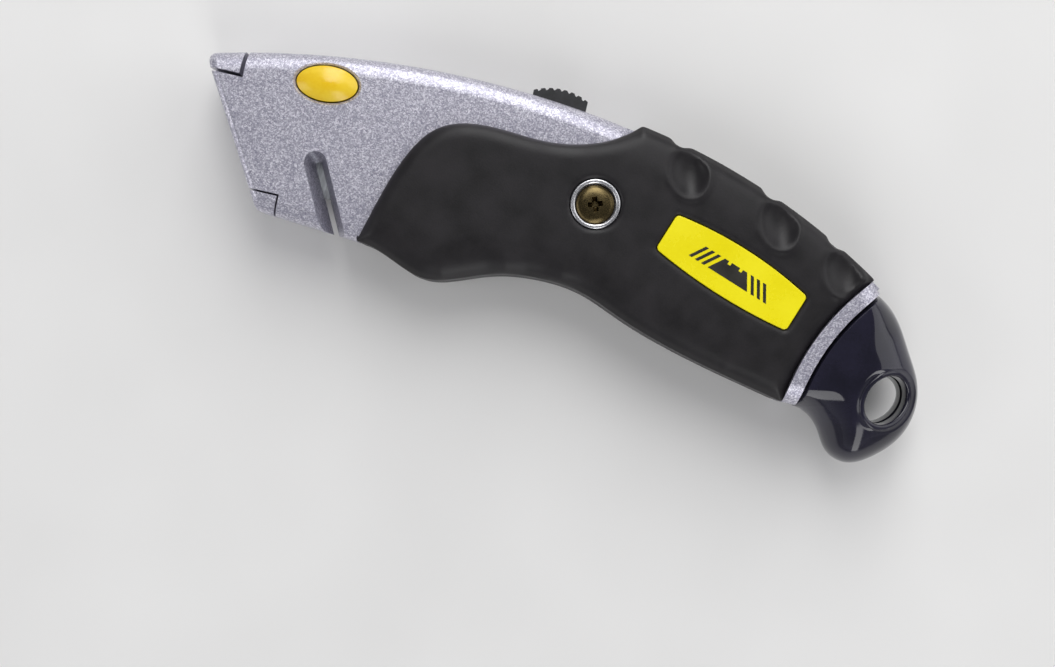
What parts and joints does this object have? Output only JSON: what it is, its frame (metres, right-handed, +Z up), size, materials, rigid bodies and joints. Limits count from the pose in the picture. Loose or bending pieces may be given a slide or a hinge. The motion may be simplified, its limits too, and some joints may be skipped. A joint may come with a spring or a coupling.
{
  "type": "retractable utility knife",
  "caption": "Retractable utility knife with a thumb slider, release button, string cutter notch, rubber grips and a tail cap that draws a magazine of spare blades out of the handle.",
  "frame": {"origin": "bottom centre of the knife's box, the knife lying on its right side on a surface", "axes": "+X from the nose to the tail along the blade's slide, +Y towards the spine, +Z up out of the left side"},
  "size_m": [0.1616, 0.0634, 0.023],
  "materials": {
    "body_paint": "silver sparkle paint on zinc die casting",
    "grip_rubber": "matte moulded thermoplastic rubber",
    "badge_plastic": "yellow printed plastic plate",
    "screw_steel": "zinc plated steel",
    "cup_chrome": "bright nickel plated brass",
    "pin_steel": "ground steel",
    "button_plastic": "golden yellow moulded plastic",
    "spring_steel": "spring steel",
    "slider_plastic": "black moulded nylon",
    "carrier_plastic": "black glass filled nylon",
    "blade_steel": "ground tool steel",
    "magazine_plastic": "black moulded nylon",
    "cap_plastic": "near black gloss moulded plastic"
  },
  "bodies": {
    "body": {"left_housing": "body_paint", "right_housing": "body_paint", "left_grip": "grip_rubber", "right_grip": "grip_rubber", "left_badge": "badge_plastic", "right_badge": "badge_plastic", "housing_screw": "screw_steel", "screw_cup": "cup_chrome", "screw_nut": "screw_steel", "alignment_pins": "pin_steel", "release_spring": "spring_steel"},
    "carriage": {"blade_carrier": "carrier_plastic", "cutting_blade": "blade_steel", "lock_spring": "spring_steel", "lock_rivet": "pin_steel", "detent_spring": "spring_steel", "thumb_spring": "spring_steel"},
    "thumb": {"thumb_slider": "slider_plastic"},
    "button": {"release_button": "button_plastic"},
    "magazine": {"magazine_frame": "magazine_plastic", "magazine_spring": "spring_steel", "magazine_catch": "spring_steel", "tail_cap": "cap_plastic", "cap_pins": "pin_steel", "spare_blade_1": "blade_steel", "spare_blade_2": "blade_steel", "spare_blade_3": "blade_steel", "spare_blade_4": "blade_steel"}
  },
  "joints": [
    {"name": "blade_slide", "type": "slide", "parent": "body", "child": "carriage", "axis": [-1, 0, 0], "range_m": [0, 0.028]},
    {"name": "thumb_press", "type": "slide", "parent": "carriage", "child": "thumb", "axis": [0, -1, 0], "range_m": [0, 0.0012], "stiffness_N_per_m": 800, "springref_m": -0.0008},
    {"name": "release_press", "type": "slide", "parent": "body", "child": "button", "axis": [0, 0, -1], "range_m": [0, 0.0018], "stiffness_N_per_m": 900, "springref_m": -0.001, "deforming": ["release_spring"]},
    {"name": "magazine_slide", "type": "slide", "parent": "body", "child": "magazine", "axis": [0.9432, -0.3322, 0], "range_m": [0, 0.075]}
  ]
}
